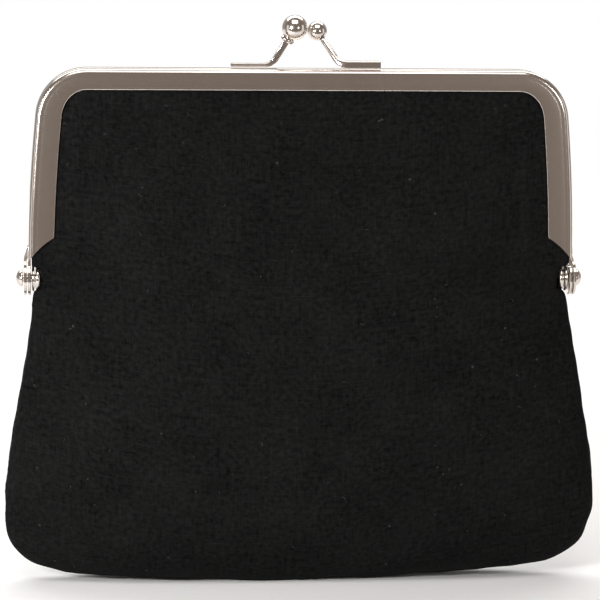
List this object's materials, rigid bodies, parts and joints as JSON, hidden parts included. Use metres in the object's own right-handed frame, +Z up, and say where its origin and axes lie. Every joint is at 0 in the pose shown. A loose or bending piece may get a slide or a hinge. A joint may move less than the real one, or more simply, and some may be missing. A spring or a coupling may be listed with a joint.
{
  "type": "clutch purse",
  "caption": "Small black cloth clutch purse held in a nickel-plated hinged frame that shuts with a ball clasp.",
  "frame": {"origin": "middle of the base that the closed purse stands on", "axes": "+Z up, +X along the width towards the viewer's right, front panel facing -Y"},
  "size_m": [0.1638, 0.0264, 0.1567],
  "materials": {
    "nickel_plate": "nickel plate, slightly warm, soft gloss",
    "black_cloth": "plain-woven black cotton, matt",
    "lining_cloth": "fine plain-woven black lining, matt",
    "wadding": "undyed felted wadding",
    "paper_cord": "twisted brown paper cord"
  },
  "bodies": {
    "pouch": {"pouch_front_cloth": "black_cloth", "pouch_front_wadding": "wadding", "pouch_front_lining": "lining_cloth", "pouch_back_cloth": "black_cloth", "pouch_back_wadding": "wadding", "pouch_back_lining": "lining_cloth", "left_hinge_rivet": "nickel_plate", "right_hinge_rivet": "nickel_plate", "left_hinge_washer": "nickel_plate", "right_hinge_washer": "nickel_plate"},
    "front_half": {"front_frame": "nickel_plate", "front_paper_cord": "paper_cord", "front_clasp_arm": "nickel_plate", "front_clasp_ball": "nickel_plate", "front_cloth_top": "black_cloth", "front_wadding_top": "wadding", "front_lining_top": "lining_cloth"},
    "back_half": {"back_frame": "nickel_plate", "back_paper_cord": "paper_cord", "back_clasp_arm": "nickel_plate", "back_clasp_ball": "nickel_plate", "back_cloth_top": "black_cloth", "back_wadding_top": "wadding", "back_lining_top": "lining_cloth"}
  },
  "joints": [
    {"name": "front_hinge", "type": "hinge", "parent": "pouch", "child": "front_half", "pos_m": [0, 0, 0.0843], "axis": [1, 0, 0], "range_deg": [0, 50]},
    {"name": "back_hinge", "type": "hinge", "parent": "pouch", "child": "back_half", "pos_m": [0, 0, 0.0843], "axis": [-1, 0, 0], "range_deg": [0, 50]}
  ],
  "couplings": [
    {"joint": "back_hinge", "follows": "front_hinge", "ratio": 1}
  ]
}
